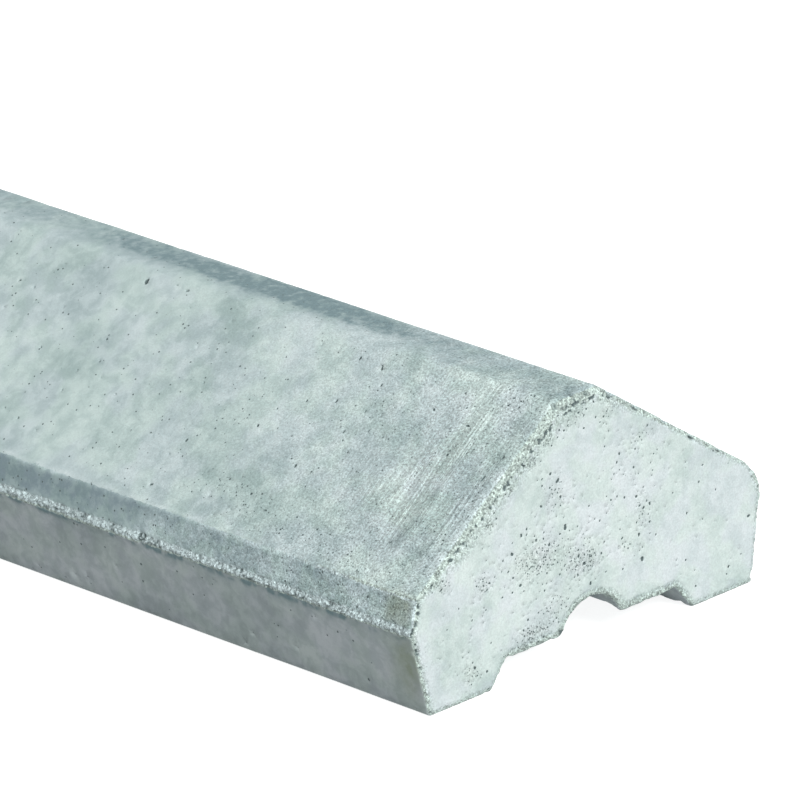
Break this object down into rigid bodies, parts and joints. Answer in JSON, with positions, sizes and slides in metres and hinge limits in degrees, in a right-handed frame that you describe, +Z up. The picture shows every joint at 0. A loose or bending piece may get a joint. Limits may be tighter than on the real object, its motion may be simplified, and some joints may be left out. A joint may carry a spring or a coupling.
{
  "type": "concrete wall cap",
  "caption": "Saddle-backed cast concrete coping with outward-leaning sides, sloped top, narrow ridge flat, and a recessed bed with a half-round groove underneath.",
  "frame": {"origin": "middle of the underside, level with the bottoms of the feet, halfway along the length", "axes": "+X along the cap towards the end shown in the picture, +Y across it, +Z up towards the ridge"},
  "size_m": [1, 0.2144, 0.1221],
  "materials": {
    "concrete": "matte"
  },
  "bodies": {
    "root": {"wall_cap": "concrete"}
  },
  "joints": []
}
